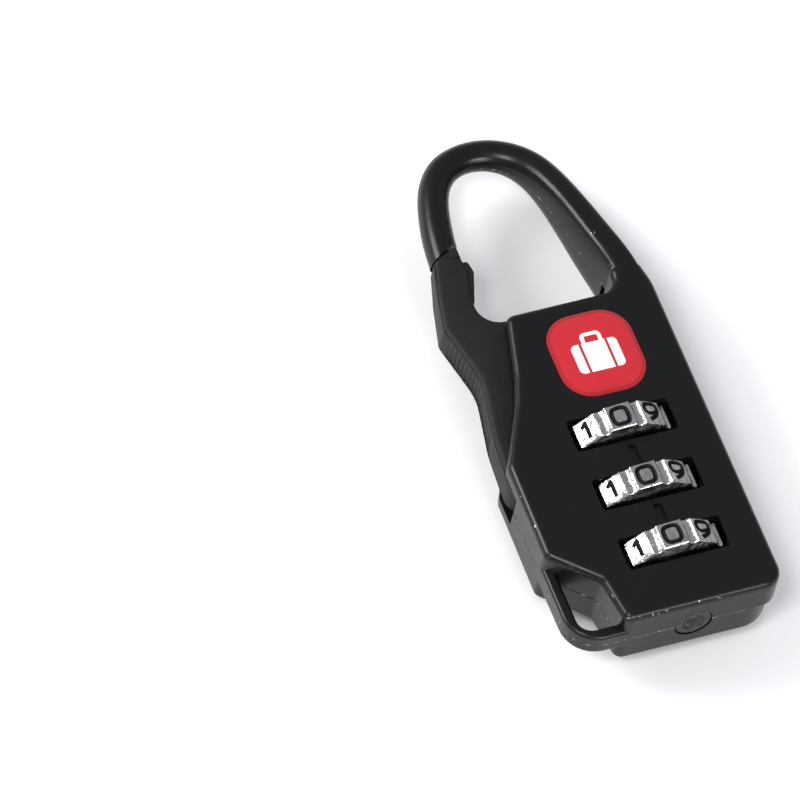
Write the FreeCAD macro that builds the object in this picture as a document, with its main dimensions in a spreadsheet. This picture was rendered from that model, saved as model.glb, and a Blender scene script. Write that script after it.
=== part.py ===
"""Combination luggage padlock with a carabiner hook, a sprung gate lever and three number wheels.

Design frame of every sub-part: x across the lock from the wheel axis, y along the lock from the flat
bottom end towards the hook, z out of the front face from the casings' seam. place() then moves each
finished sub-part to the lock's own frame, which has its origin under the middle of the lock, on the
plane that the lock lies on.
"""
import FreeCAD, Part
import math
import os
import re

from FreeCAD import Placement, Rotation, Vector

doc = FreeCAD.newDocument("combination_padlock")
sheet = doc.addObject("Spreadsheet::Sheet", "Sizes")

DIMENSIONS = {
    # whole lock
    "side_shift": 2.275,         # wheel axis to the middle of the lock's width
    "length_shift": -36.35,      # zero of y to the middle of the lock's length
    "body_half": 4.95,           # seam to front or rear face
    "left_edge": -16.3,
    "right_edge": 11.75,
    "bottom_end": -1.0,
    "body_top": 45.35,
    "shoulder_top": 49.0,        # top of the rear casing beside the hook's arm
    "face_round": 1.0,
    "front_corner": 2.6,         # bottom right corner of the front casing
    "rear_corner": 4.4,
    "seam_bevel": 0.12,
    # wheels and the stepped bore they sit in
    "first_wheel": 8.0,
    "wheel_pitch": 9.0,
    "wheel_flat": 7.5,
    "wheel_width": 3.6,
    "digit_flat": 3.7,
    "valley_depth": 0.42,
    "valley_floor": 0.3,
    "groove_radius": 8.15,
    "side_gap": 0.1,
    "window_width": 13.7,
    "window_height": 4.65,
    "window_depth": 2.0,
    "bore_radius": 3.6,
    # code sleeves, spindle and reset button
    "sleeve_radius": 3.5,
    "sleeve_hole": 1.3,
    "fin_groove": 2.7,
    "fin_groove_length": 6.0,
    "spindle_radius": 1.2,
    "spindle_foot": 5.3,
    "fin_reach": 2.5,
    "fin_height": 1.0,
    "fin_offset": 1.5,
    "collar_radius": 3.3,
    "collar_base": 39.5,
    "collar_height": 1.2,
    "collar_bore": 3.5,
    "bulkhead_base": 33.5,
    "bulkhead_top": 34.5,
    "cavity_top": 43.0,
    "button_radius": 2.48,
    "button_hole": 2.55,
    "button_face": -0.92,
    "button_flange": 3.45,
    "flange_base": 1.75,
    "flange_top": 3.4,
    "button_bore": 1.35,
    "bore_floor": 1.0,
    # gate lever
    "pivot_x": -13.1,
    "pivot_y": 23.3,
    "pin_radius": 0.8,
    "pin_half": 4.0,
    "boss_radius": 2.85,
    "lever_half": 2.6,
    "slot_half": 2.75,
    "lever_round": 0.5,
    "lug_half": 1.6,             # thinner lug on the lever's inner side, below the hook's tip
    "seat_radius": 2.1,          # torsion spring's seat round the pin
    "seat_depth": 1.6,
    "tip_gap": 0.2,
    # lanyard loop
    "loop_rod": 1.6,
    "loop_half": 1.75,
    "loop_round": 0.55,
    # fixings and trim
    "dowel_radius": 0.9,
    "dowel_half": 3.2,
    "badge_width": 11.4,
    "badge_height": 12.2,
    "badge_corner": 4.0,
    "badge_recess": 0.5,
    "badge_proud": 0.35,
    "badge_gap": 0.1,
    "badge_x": 0.7,
    "badge_y": 36.9,
    "mark_width": 1.1,
    "mark_length": 2.9,
    "mark_depth": 0.5,
    "mark_x": 0.0,
    # springs
    "spring_radius": 2.2,
    "spring_wire": 0.2,
    "leaf_x": 8.85,
    "leaf_thick": 0.25,
    "nose_radius": 1.0,
}

for row, (alias, value) in enumerate(DIMENSIONS.items(), start=1):
    sheet.set(f"A{row}", alias)
    sheet.set(f"B{row}", str(value))
    sheet.setAlias(f"B{row}", alias)
doc.recompute()

ALIAS_WORD = re.compile(r"\b(" + "|".join(DIMENSIONS) + r")\b")
WHEELS = (1, 2, 3)                      # wheel 1 is nearest the hook
NODES = []                              # (label, object) of every sub-part, in order
Y_UP = Rotation(Vector(1, 0, 0), -90)   # turns an upright primitive along +y


def size(alias):
    """A driving dimension as a number, for the shapes that are drawn point by point."""
    return float(sheet.get(alias))


def bind(item, prop, formula):
    """Bind a property to a formula written with the sheet's aliases."""
    item.setExpression(prop, ALIAS_WORD.sub(r"Sizes.\1", str(formula)))


def put(item, at, turn=None):
    """Bind an object's position to three formulas, with an optional fixed rotation."""
    if turn is not None:
        item.Placement = Placement(Vector(), turn)
    for axis, formula in zip("xyz", at):
        bind(item, f"Placement.Base.{axis}", formula)


def place(item, label, at=(0, 0, 0), turn=None):
    """Name a finished sub-part and move it from its place in the design frame to the lock's own frame."""
    item.Label = label
    shift = ("side_shift", "length_shift", "wheel_flat")
    put(item, [f"{move} + {formula}" for move, formula in zip(shift, at)], turn)
    NODES.append((label, item))


def wheel_height(number):
    """Formula for the y of a wheel's middle."""
    return f"(first_wheel + {3 - number} * wheel_pitch)"


# ---------------------------------------------------------------- primitives and booleans
def cylinder(name, radius, length, at, turn=Y_UP):
    item = doc.addObject("Part::Cylinder", name)
    bind(item, "Radius", radius)
    bind(item, "Height", length)
    put(item, at, turn)
    return item


def box(name, sizes, at, turn=None):
    item = doc.addObject("Part::Box", name)
    for prop, formula in zip(("Length", "Width", "Height"), sizes):
        bind(item, prop, formula)
    put(item, at, turn)
    return item


def fuse(name, pieces):
    item = doc.addObject("Part::MultiFuse", name)
    item.Shapes = pieces
    return item


def cut(name, base, tools):
    item = doc.addObject("Part::Cut", name)
    item.Base = base
    item.Tool = tools[0] if len(tools) == 1 else fuse(f"{name}_tools", tools)
    return item


# ---------------------------------------------------------------- sketches and PartDesign features
def origin_feature(body, role):
    return next(part for part in body.Origin.OriginFeatures if part.Role == role)


def new_body(name):
    return doc.addObject("PartDesign::Body", name)


def sketch_on(body, name, height="0"):
    """An empty sketch on a body's XY plane, raised to a height."""
    drawing = body.newObject("Sketcher::SketchObject", name)
    drawing.AttachmentSupport = [(origin_feature(body, "XY_Plane"), "")]
    drawing.MapMode = "FlatFace"
    bind(drawing, "AttachmentOffset.Base.z", height)
    return drawing


def rounded_outline(points):
    """Lines and arcs of a closed outline; each point is (x, y, corner radius)."""
    corners = []
    for index, (x, y, radius) in enumerate(points):
        here = Vector(x, y, 0)
        before = Vector(*points[index - 1][:2], 0)
        after = Vector(*points[(index + 1) % len(points)][:2], 0)
        back = (before - here).normalize()
        ahead = (after - here).normalize()
        half_angle = back.getAngle(ahead) / 2
        reach = radius / math.tan(half_angle) if radius else 0
        middle = (back + ahead).normalize() if radius else Vector()
        nearest = here + middle * (radius / math.sin(half_angle) - radius) if radius else here
        corners.append((here + back * reach, nearest, here + ahead * reach, radius))
    edges = []
    for index, (start, nearest, end, radius) in enumerate(corners):
        previous_end = corners[index - 1][2]
        if previous_end.distanceToPoint(start) > 1e-6:
            edges.append(Part.LineSegment(previous_end, start))
        if radius:
            edges.append(Part.Arc(start, nearest, end))
    return edges


def rectangle(drawing, width, height, at, corner=0):
    """A rectangle about a centre, with rounded corners if a radius is given."""
    x, y = at
    half_w = width / 2
    half_h = height / 2
    corners = ((-1, -1), (1, -1), (1, 1), (-1, 1))
    drawing.addGeometry(rounded_outline([(x + i * half_w, y + j * half_h, corner) for i, j in corners]))


def feature(body, kind, name, drawing, length=None, back=False):
    """A Pad, Pocket, Groove or Revolution of a sketch; a removing one must remove something."""
    before = body.Shape.Volume if not body.Shape.isNull() else 0
    item = body.newObject(f"PartDesign::{kind}", name)
    item.Profile = drawing
    if kind in ("Groove", "Revolution"):
        item.ReferenceAxis = (origin_feature(body, "Y_Axis"), [""])
        item.Angle = 360
    else:
        item.Reversed = back
        bind(item, "Length", length)
    drawing.Visibility = False
    doc.recompute()
    removes = kind in ("Pocket", "Groove")
    changed = before - body.Shape.Volume if removes else body.Shape.Volume - before
    if changed <= 0:
        raise RuntimeError(f"{name} changes nothing")
    return item


def edges_at(shape, height, span=None):
    """Names of the edges that lie flat at one height, within an optional (x, y) test."""
    names = []
    for number, edge in enumerate(shape.Edges, start=1):
        bounds = edge.BoundBox
        flat = abs(bounds.ZMin - height) < 1e-4 and abs(bounds.ZMax - height) < 1e-4
        if flat and (span is None or span(edge.CenterOfMass)):
            names.append(f"Edge{number}")
    return names


def dress(body, kind, name, base, edges, amount):
    """A Fillet or Chamfer of the named edges."""
    item = body.newObject(f"PartDesign::{kind}", name)
    item.Base = (base, edges)
    bind(item, "Radius" if kind == "Fillet" else "Size", amount)
    doc.recompute()
    return item


# ---------------------------------------------------------------- casings
def body_outline(bottom_corner):
    """The casings' shared outline, anticlockwise from the bottom left corner."""
    left = size("left_edge")
    right = size("right_edge")
    bottom = size("bottom_end")
    top = size("body_top")
    shoulder = size("shoulder_top")
    return [
        (-9.8, bottom, 1.3), (right, bottom, bottom_corner), (right, 45.4, 8), (11.0, shoulder, 1.4),
        (7.1, shoulder, 1.4), (6.6, top, 2.0), (-8.3, top, 1.3), (-10.45, 36.75, 12), (-11.85, 32.8, 12),
        (left + 0.2, 24.2, 1.3), (left, 10.5, 1.3), (-10.7, 5.4, 1.2),
    ]


def loop_outline():
    """The lanyard loop's bent rod, from the left edge round the corner to the bottom end."""
    left = size("left_edge")
    bottom = size("bottom_end")
    inner_x = left + size("loop_rod")
    inner_y = bottom + size("loop_rod")
    top = 11.5
    root = -8.5
    return [
        (left, bottom, 4.4), (root, bottom, 0), (root, inner_y, 0),
        (inner_x, inner_y, 1.9), (inner_x, top, 0), (left, top, 0),
    ]


def lever_slot_outline():
    """Room for the gate lever between the casings, open along the upper left edge."""
    reach = -18.0
    floor = 20.2
    cavity = size("cavity_top")
    return [
        (reach, floor, 0), (-9.9, floor, 2.5), (-8.9, 26.0, 2), (-5.3, 35.0, 1),
        (-3.4, 37.3, 0), (2.0, 37.3, 0.5),
        (2.0, cavity, 0.5), (-1.6, cavity, 0), (-1.6, 50.0, 0), (reach, 50.0, 0),
    ]


def stepped_bore():
    """Half section of the bore along the wheel axis, from the bottom end to above the spindle."""
    bore = size("bore_radius")
    groove = size("groove_radius")
    half = size("wheel_width") / 2 + size("side_gap")
    start = size("bottom_end") - 1
    flange_seat = size("flange_base") - 0.05
    hole = size("button_hole")
    points = [(0, start), (hole, start), (hole, flange_seat), (bore, flange_seat)]
    for number in reversed(WHEELS):
        middle = size("first_wheel") + (3 - number) * size("wheel_pitch")
        for edge, (first, second) in ((middle - half, (bore, groove)), (middle + half, (groove, bore))):
            points += [(first, edge), (second, edge)]
    points += [(bore, size("bulkhead_base")), (size("sleeve_hole"), size("bulkhead_base"))]
    points += [(size("sleeve_hole"), size("bulkhead_top")), (size("collar_bore"), size("bulkhead_top"))]
    points += [(size("collar_bore"), size("cavity_top")), (0, size("cavity_top"))]
    return rounded_outline([(x, y, 0) for x, y in points])


DOWELS = ((9.2, 2.3), (9.2, 41.3), (-12.7, 13.5), (-6.5, 2.4))


def casing_shell(body, side):
    """Outer form shared by both casings: side is 1 in front of the seam and -1 behind it."""
    drawing = sketch_on(body, "outline")
    corner = size("front_corner" if side > 0 else "rear_corner")
    drawing.addGeometry(rounded_outline(body_outline(corner)))
    plate = feature(body, "Pad", "plate", drawing, "body_half", back=side < 0)
    face_edges = edges_at(plate.Shape, side * size("body_half"))
    rounded = dress(body, "Fillet", "face_edge", plate, face_edges, "face_round")
    dress(body, "Chamfer", "seam_edge", rounded, edges_at(rounded.Shape, 0), "seam_bevel")
    drawing = sketch_on(body, "loop_outline")
    drawing.addGeometry(rounded_outline(loop_outline()))
    loop = feature(body, "Pad", "loop", drawing, "loop_half", back=side < 0)
    loop_face = edges_at(loop.Shape, side * size("loop_half"), lambda mid: mid.x < -10.4 and mid.y < 8.5)
    dress(body, "Fillet", "loop_edge", loop, loop_face, "loop_round")


def casing_inside(body, side):
    """Cavities shared by both casings."""
    back = side < 0
    drawing = sketch_on(body, "bore_section")
    drawing.addGeometry(stepped_bore())
    feature(body, "Groove", "stepped_bore", drawing)

    drawing = sketch_on(body, "windows", f"{side} * body_half")
    for number in WHEELS:
        middle = size("first_wheel") + (3 - number) * size("wheel_pitch")
        rectangle(drawing, size("window_width"), size("window_height"), (0, middle), corner=0.45)
    feature(body, "Pocket", "window_pockets", drawing, "window_depth", back)

    drawing = sketch_on(body, "lever_slot", f"{side} * slot_half")
    drawing.addGeometry(rounded_outline(lever_slot_outline()))
    feature(body, "Pocket", "lever_pocket", drawing, "slot_half", back)

    drawing = sketch_on(body, "leaf_slot", f"{side} * 2.45")
    rectangle(drawing, 2.4, 25.8, (size("leaf_x") - 0.2, 17.0))
    feature(body, "Pocket", "leaf_pocket", drawing, "2.45", back)

    drawing = sketch_on(body, "dowel_holes", f"{side} * dowel_half")
    for x, y in DOWELS:
        drawing.addGeometry(Part.Circle(Vector(x, y, 0), Vector(0, 0, 1), size("dowel_radius")))
    feature(body, "Pocket", "dowel_sockets", drawing, "dowel_half", back)

    drawing = sketch_on(body, "pivot_hole", f"{side} * pin_half")
    centre = Vector(size("pivot_x"), size("pivot_y"), 0)
    drawing.addGeometry(Part.Circle(centre, Vector(0, 0, 1), size("pin_radius")))
    feature(body, "Pocket", "pivot_socket", drawing, "pin_half", back)


# Stations of the hook from its root to its tip: centre, direction in degrees from +x, half width in the
# plane of the lock, half thickness, and squareness (2 is an ellipse, more is squarer).
HOOK_STATIONS = (
    (9.6, 43.2, 92, 1.9, 4.5, 4.5),
    (9.35, 46.2, 97, 2.05, 4.85, 5),
    (8.98, 49.9, 101, 2.0, 4.93, 5),
    (8.08, 54.4, 102, 2.0, 4.6, 4.2),
    (7.1, 59.3, 103, 2.0, 4.0, 3.4),
    (6.0, 63.9, 110, 2.02, 3.3, 2.8),
    (4.15, 68.15, 127, 2.1, 2.6, 2.3),
    (1.1, 70.85, 153, 2.05, 2.15, 2),
    (-2.7, 71.75, 180, 1.95, 1.95, 2),
    (-6.4, 70.7, 213, 1.98, 1.98, 2),
    (-8.9, 67.75, 241, 2.0, 2.0, 2),
    (-10.15, 64.2, 255, 2.02, 2.02, 2),
    (-11.05, 59.5, 261, 2.05, 2.05, 2),
    (-11.65, 55.5, 262, 2.05, 2.05, 2),
)
SECTION_POINTS = 24
SEAM_STEP = 3.4        # starts each section's curve away from the seam plane between the casings
TIP_LEFT = (-13.0, 57.3)      # the hook's tip ends on the line through these two points
TIP_RIGHT = (-9.2, 59.1)


def hook():
    """Hook lofted through its stations; the first stations lie inside the front casing."""
    body = new_body("hook_body")
    sections = []
    for number, (x, y, heading, half_width, half_thick, squareness) in enumerate(HOOK_STATIONS, start=1):
        drawing = body.newObject("Sketcher::SketchObject", f"hook_section_{number}")
        drawing.AttachmentSupport = [(origin_feature(body, "XY_Plane"), "")]
        drawing.MapMode = "FlatFace"
        upright = Rotation(Vector(1, 0, 0), 90)
        facing = Rotation(Vector(0, 0, 1), heading + 90)
        drawing.AttachmentOffset = Placement(Vector(x, y, 0), facing.multiply(upright))
        points = []
        for step in range(SECTION_POINTS):
            angle = 2 * math.pi * (step + SEAM_STEP) / SECTION_POINTS
            across = math.cos(angle)
            up = math.sin(angle)
            reach = (abs(across) ** squareness + abs(up) ** squareness) ** (-1 / squareness)
            points.append(Vector(half_width * reach * across, half_thick * reach * up, 0))
        curve = Part.BSplineCurve()
        curve.interpolate(Points=points, PeriodicFlag=True)
        drawing.addGeometry(curve)
        sections.append(drawing)
    loft = body.newObject("PartDesign::AdditiveLoft", "hook_rod")
    loft.Profile = sections[0]
    loft.Sections = sections[1:]
    loft.Ruled = False
    doc.recompute()
    # the tip is cut off on a slant, in line with the top of the gate lever
    drawing = sketch_on(body, "tip_cut", "body_half")
    slope = (TIP_RIGHT[1] - TIP_LEFT[1]) / (TIP_RIGHT[0] - TIP_LEFT[0])
    ends = [(x, TIP_LEFT[1] + slope * (x - TIP_LEFT[0]), 0) for x in (-5, -16)]
    drawing.addGeometry(rounded_outline([(-16, 50, 0), (-5, 50, 0)] + ends))
    feature(body, "Pocket", "tip_slant", drawing, "2 * body_half")
    # the rear casing's shoulder takes the room behind the seam beside the arm
    drawing = sketch_on(body, "shoulder_room", "0")
    rectangle(drawing, 16, 14, (8, size("shoulder_top") + 0.15 - 7))
    feature(body, "Pocket", "shoulder_relief", drawing, "body_half + 1")
    return body


def front_casing():
    body = new_body("front_casing_body")
    casing_shell(body, 1)
    casing_inside(body, 1)
    drawing = sketch_on(body, "badge_seat", "body_half")
    gap = size("badge_gap")
    middle = (size("badge_x"), size("badge_y"))
    width = size("badge_width") + 2 * gap
    height = size("badge_height") + 2 * gap
    rectangle(drawing, width, height, middle, corner=size("badge_corner") + gap)
    feature(body, "Pocket", "badge_pocket", drawing, "badge_recess")
    drawing = sketch_on(body, "index_marks", "body_half")
    for step in (0.5, 1.5):
        middle = size("first_wheel") + step * size("wheel_pitch")
        rectangle(drawing, size("mark_width"), size("mark_length"), (size("mark_x"), middle), corner=0.3)
    feature(body, "Pocket", "index_slots", drawing, "mark_depth")
    place(fuse("front_casing_with_hook", [body, hook()]), "front_casing")


def back_casing():
    body = new_body("back_casing_body")
    casing_shell(body, -1)
    casing_inside(body, -1)
    place(body, "back_casing")


def casing_dowels():
    """Press-fit dowels that hold the two casings together."""
    dowels = [
        cylinder(f"dowel_{n}", "dowel_radius", "2 * dowel_half", (x, y, "-dowel_half"), Rotation())
        for n, (x, y) in enumerate(DOWELS, start=1)
    ]
    place(fuse("dowel_group", dowels), "casing_dowels")


def badge():
    """Rounded badge glued into the recess above the wheels, with a softened edge."""
    body = new_body("badge_body")
    drawing = sketch_on(body, "badge_outline", "body_half - badge_recess")
    middle = (size("badge_x"), size("badge_y"))
    rectangle(drawing, size("badge_width"), size("badge_height"), middle, corner=size("badge_corner"))
    pad = feature(body, "Pad", "badge_plate", drawing, "badge_recess + badge_proud")
    rim = edges_at(pad.Shape, size("body_half") + size("badge_proud"))
    dress(body, "Fillet", "badge_rim", pad, rim, "badge_proud")
    place(body, "badge")


# ---------------------------------------------------------------- gate lever, its pin and its spring
def lever_outline():
    """Gate lever, anticlockwise from the pivot boss, shut against the hook's tip."""
    x = size("pivot_x")
    y = size("pivot_y")
    boss = size("boss_radius")
    gap = size("tip_gap")
    boss_round = boss * 0.98
    return [
        (x + boss, y - boss, boss_round), (x + boss, y + 2.5, 3), (-8.8, 36.5, 4),
        (-7.6, 39.6, 1.2), (-4.6, 40.85, 0.6), (-2.7, 40.85, 0.5), (-2.7, 42.0, 0.6), (-6.0, 43.3, 0.8),
        (-7.0, 45.85, 0.5), (-10.75, 45.85, 2.9), (-10.75, 50.6, 3), (-9.75, 54.0, 2),
        (-9.6, TIP_RIGHT[1] - gap - 0.2, 0.4), (TIP_LEFT[0] - 0.1, TIP_LEFT[1] - gap, 0.6), (-14.5, 52.4, 8),
        (-15.8, 46.8, 1.6), (-13.9, 38.4, 9), (-15.5, 30.0, 14), (x - boss, y, 1.0),
        (x - boss, y - boss, boss_round),
    ]


def lug_outline():
    """The thinner lug that thickens the lever's inner side where a finger rests before the hook's tip."""
    return [(-11.5, 49.2, 0), (-10.3, 49.8, 1), (-8.6, 54.5, 1), (-8.9, 56.2, 0.4), (-11.5, 56.2, 0)]


def gate_lever():
    body = new_body("gate_lever_body")
    drawing = sketch_on(body, "lever_outline", "-lever_half")
    drawing.addGeometry(rounded_outline(lever_outline()))
    web = feature(body, "Pad", "web", drawing, "2 * lever_half")
    outer = []
    for height in (size("lever_half"), -size("lever_half")):
        outer += edges_at(web.Shape, height, lambda mid: mid.x < -12.6 and mid.y > 24)
    dress(body, "Fillet", "outer_round", web, outer, "lever_round")
    drawing = sketch_on(body, "lug_outline", "-lug_half")
    drawing.addGeometry(rounded_outline(lug_outline()))
    feature(body, "Pad", "lug", drawing, "2 * lug_half")
    drawing = sketch_on(body, "pin_hole", "lever_half")
    centre = Vector(size("pivot_x"), size("pivot_y"), 0)
    drawing.addGeometry(Part.Circle(centre, Vector(0, 0, 1), size("pin_radius") + 0.06))
    feature(body, "Pocket", "pin_bore", drawing, "2 * lever_half")
    drawing = sketch_on(body, "spring_seat", "lever_half")
    drawing.addGeometry(Part.Circle(centre, Vector(0, 0, 1), size("seat_radius")))
    feature(body, "Pocket", "spring_pocket", drawing, "seat_depth")
    drawing = sketch_on(body, "leg_slot", "lever_half")
    rectangle(drawing, 4.0, 0.6, (size("pivot_x") + 2.2, size("pivot_y") + 1.5))
    feature(body, "Pocket", "leg_way", drawing, "seat_depth")
    place(body, "gate_lever")


def gate_pin():
    pin = cylinder("pivot_pin", "pin_radius", "2 * pin_half", (0, 0, 0), Rotation())
    place(pin, "gate_pivot_pin", ("pivot_x", "pivot_y", "-pin_half"))


def helix_spring(name, radius, wire, turns, length):
    """An upright coil of round wire that starts at the origin."""
    helix = doc.addObject("Part::Helix", f"{name}_helix")
    bind(helix, "Radius", radius)
    bind(helix, "Pitch", f"({length} - 2 * {wire}) / {turns}")
    bind(helix, "Height", f"{length} - 2 * {wire}")
    helix.SegmentLength = 0.5
    ring = doc.addObject("Part::Circle", f"{name}_wire")
    bind(ring, "Radius", wire)
    ring.Placement = Placement(Vector(), Rotation(Vector(1, 0, 0), 90))
    bind(ring, "Placement.Base.x", radius)
    coil = doc.addObject("Part::Sweep", name)
    coil.Sections = [ring]
    coil.Spine = (helix, [])
    coil.Solid = True
    coil.Frenet = True
    return coil


def gate_spring():
    """Torsion spring round the pivot pin: its coil sits in the lever and one leg reaches inwards."""
    coil = helix_spring("gate_coil", "1.35", "0.17", 3, "1.35")
    put(coil, ("pivot_x", "pivot_y", "1.28"))
    leg_at = ("pivot_x + 0.2", "pivot_y + 1.5", "1.4")
    leg = cylinder("gate_leg", "0.17", "2.6", leg_at, Rotation(Vector(0, 1, 0), 90))
    place(fuse("gate_spring_wire", [coil, leg]), "gate_spring")


# ---------------------------------------------------------------- spindle and its return spring
def spindle():
    """Shaft through the code sleeves with one locking fin for each wheel."""
    length = "collar_base + collar_height - spindle_foot"
    pieces = [cylinder("shaft", "spindle_radius", length, (0, "spindle_foot", 0))]
    for number in WHEELS:
        at = ("spindle_radius - 0.4", f"{wheel_height(number)} + fin_offset", "-0.45")
        sizes = ("fin_reach + 0.4 - spindle_radius", "fin_height", "0.9")
        pieces.append(box(f"fin_{number}", sizes, at))
    place(fuse("spindle_shaft", pieces), "spindle")


def spindle_collar():
    """Collar pressed on the spindle's top end, which the lever's nose pushes down."""
    ring = cylinder("collar_disc", "collar_radius", "collar_height", (0, "collar_base", 0))
    hole = cylinder("collar_hole", "spindle_radius", "collar_height", (0, "collar_base", 0))
    place(cut("collar_ring", ring, [hole]), "spindle_collar")


def coil_springs():
    room = "collar_base - bulkhead_top - 0.1"
    spring = helix_spring("spindle_coil", "spring_radius", "spring_wire", 5, room)
    place(spring, "spindle_spring", (0, "bulkhead_top + 0.05 + spring_wire", 0), Y_UP)
    spring = helix_spring("sleeve_coil", "spring_radius", "spring_wire", 3, "bulkhead_base - 31.0")
    place(spring, "sleeve_spring", (0, "30.95 + spring_wire", 0), Y_UP)


# ---------------------------------------------------------------- wheels and code sleeves
def wheel_profile():
    """Ten digit flats with a shallow valley between neighbours."""
    flat = size("wheel_flat")
    half = size("digit_flat") / 2
    floor = size("valley_floor") / 2
    valley = math.hypot(flat, half) - size("valley_depth")
    points = []
    for digit in range(10):
        turn = math.radians(-36 * digit)
        cos = math.cos(turn)
        sin = math.sin(turn)
        valley_turn = math.radians(-36 * digit - 18)
        for x, y in ((-half, flat), (half, flat)):
            points.append(Vector(x * cos - y * sin, x * sin + y * cos, 0))
        cos = math.cos(valley_turn)
        sin = math.sin(valley_turn)
        for x, y in ((-floor, valley), (floor, valley)):
            points.append(Vector(x * cos - y * sin, x * sin + y * cos, 0))
    return points


def number_wheel(number):
    """Number wheel: ten notches at its lower end take the sleeve's key, and a counterbore frees it."""
    middle = wheel_height(number)
    points = wheel_profile()
    rim = doc.addObject("Part::Feature", f"wheel_rim_{number}")
    face = Part.Face(Part.makePolygon(points + [points[0]]))
    rim.Shape = face.extrude(Vector(0, 0, size("wheel_width")))
    put(rim, (0, f"{middle} - wheel_width / 2", 0), Y_UP)
    base = f"{middle} - wheel_width / 2"
    tools = [
        cylinder(f"wheel_bore_{number}", "bore_radius", "wheel_width", (0, base, 0)),
        cylinder(f"wheel_counterbore_{number}", "4.35", "wheel_width - 1.2", (0, f"{base} + 1.2", 0)),
    ]
    for step in range(5):
        angle = Rotation(Vector(0, 1, 0), 36 * step)
        corner = angle.multVec(Vector(-4.3, 0, -0.6))
        at = (f"{corner.x:.5f}", base, f"{corner.z:.5f}")
        tools.append(box(f"notch_{number}_{step}", ("8.6", "1.2", "1.2"), at, angle))
    place(cut(f"wheel_{number}", rim, tools), f"number_wheel_{number}")


def code_sleeve(number):
    """Code sleeve: a key outside for the wheel, a groove and a slot inside for the spindle's fin."""
    middle = wheel_height(number)
    base = f"{middle} - wheel_pitch / 2 + 0.03"
    tube = cylinder(f"sleeve_tube_{number}", "sleeve_radius", "wheel_pitch - 0.06", (0, base, 0))
    key_at = ("sleeve_radius - 0.3", f"{middle} - wheel_width / 2 + 0.1", "-0.5")
    key = box(f"sleeve_key_{number}", ("1.0", "1.0", "1.0"), key_at)
    outside = fuse(f"sleeve_outside_{number}", [tube, key])
    hole = cylinder(f"sleeve_hole_{number}", "sleeve_hole", "wheel_pitch", (0, base, 0))
    room_at = (0, f"{middle} - fin_groove_length / 2 - 0.05", 0)
    room = cylinder(f"fin_room_{number}", "fin_groove", "fin_groove_length", room_at)
    slot = box(f"fin_slot_{number}", ("fin_groove", "wheel_pitch", "1.2"), (0, base, "-0.6"))
    place(cut(f"sleeve_{number}", outside, [hole, room, slot]), f"code_sleeve_{number}")


def sleeve_washer():
    """Thin washer between the top sleeve and its spring."""
    disc = cylinder("washer_disc", "collar_radius", "0.35", (0, "30.55", 0))
    hole = cylinder("washer_hole", "1.45", "0.35", (0, "30.55", 0))
    place(cut("washer_ring", disc, [hole]), "sleeve_washer")


def click_spring():
    """Leaf spring beside the wheels, with one rounded nose for each."""
    leaf = box("leaf", ("leaf_thick", "25.2", "4.4"), ("leaf_x", "4.4", "-2.2"))
    noses = []
    for number in WHEELS:
        at = ("leaf_x", wheel_height(number), "-0.9")
        noses.append(cylinder(f"leaf_nose_{number}", "nose_radius", "1.8", at, Rotation()))
    behind = box("leaf_back_room", ("2", "30", "6"), ("leaf_x + leaf_thick", "2", "-3"))
    place(cut("leaf_with_noses", fuse("leaf_and_noses", [leaf] + noses), [behind]), "click_spring")


# ---------------------------------------------------------------- reset button
def reset_button():
    """Button in the bottom end: pushed in with a pen tip, it lifts the sleeves out of the wheels."""
    disc = cylinder("button_disc", "button_radius", "flange_top - button_face", (0, "button_face", 0))
    flange = cylinder("button_rim", "button_flange", "flange_top - flange_base", (0, "flange_base", 0))
    bore = cylinder("button_blind_bore", "button_bore", "flange_top - bore_floor", (0, "bore_floor", 0))
    dimple = doc.addObject("Part::Cone", "button_dimple")
    dimple.Radius1 = 1.0
    dimple.Radius2 = 0.1
    dimple.Height = 0.4
    put(dimple, (0, "button_face", 0), Y_UP)
    place(cut("button", fuse("button_solid", [disc, flange]), [bore, dimple]), "reset_button")


# ---------------------------------------------------------------- build, check and write
front_casing()
back_casing()
casing_dowels()
badge()
gate_lever()
gate_pin()
gate_spring()
spindle()
spindle_collar()
coil_springs()
for wheel in WHEELS:
    number_wheel(wheel)
    code_sleeve(wheel)
sleeve_washer()
click_spring()
reset_button()
doc.recompute()

for item in doc.Objects:
    if "Invalid" in item.State or "Error" in item.State:
        raise RuntimeError(f"{item.Label} failed: {item.State}")

os.makedirs("parts", exist_ok=True)
for label, item in NODES:
    shape = item.Shape
    if shape.isNull() or not shape.isValid():
        raise RuntimeError(f"{label} has no valid shape")
    shape.exportStep(f"parts/{label}.step")
    print(f"{label}: {len(shape.Solids)} solid(s), {shape.Volume:.1f} mm3, {shape.BoundBox}")
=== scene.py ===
import math

import bmesh
import bpy
from mathutils import Matrix, Vector


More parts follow.
